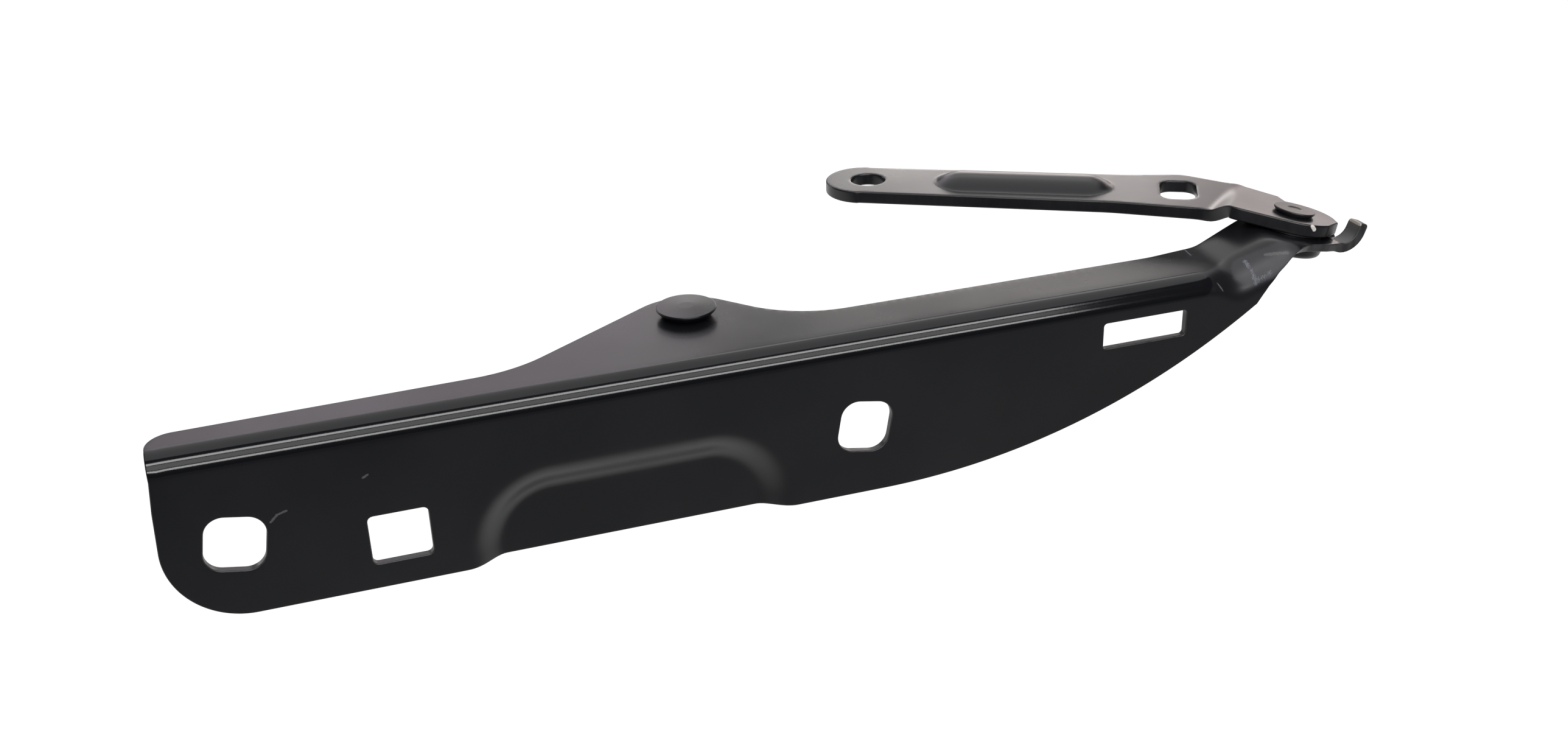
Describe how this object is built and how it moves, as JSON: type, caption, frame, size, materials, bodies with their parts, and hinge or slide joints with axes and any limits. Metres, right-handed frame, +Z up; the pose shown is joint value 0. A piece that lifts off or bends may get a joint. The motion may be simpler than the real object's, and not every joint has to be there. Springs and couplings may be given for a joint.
{
  "type": "bonnet hinge",
  "caption": "Pressed-steel bonnet hinge: a long flanged arm with slotted bolt holes and a stop finger turns on a riveted pivot in the eye of a short beaded body bracket.",
  "frame": {"origin": "Centre of the bracket's round bolt hole, on the bracket's underside, the face that sits on the car body.", "axes": "+Z up out of the bracket's plate, along the body bolt. +X along the arm's long bend with the hinge folded, from the arm's free end towards the pivot. +Y away from the arm's web, to the side of the bracket's bolt hole."},
  "size_m": [0.3561, 0.1105, 0.06],
  "materials": {
    "arm_paint": "satin black dip coat",
    "stud_paint": "satin black dip coat",
    "bracket_paint": "satin black dip coat",
    "rivet_paint": "satin black dip coat over turned steel"
  },
  "bodies": {
    "bracket": {"body_bracket": "bracket_paint", "pivot_bush": "rivet_paint"},
    "arm": {"bonnet_arm": "arm_paint", "ear_stud": "stud_paint", "pivot_rivet": "rivet_paint"}
  },
  "joints": [
    {"name": "bonnet_pivot", "type": "hinge", "parent": "bracket", "child": "arm", "pos_m": [0.10927, -0.07753, 0.00275], "axis": [0.2147, 0, 0.9767], "range_deg": [-8, 78]}
  ]
}
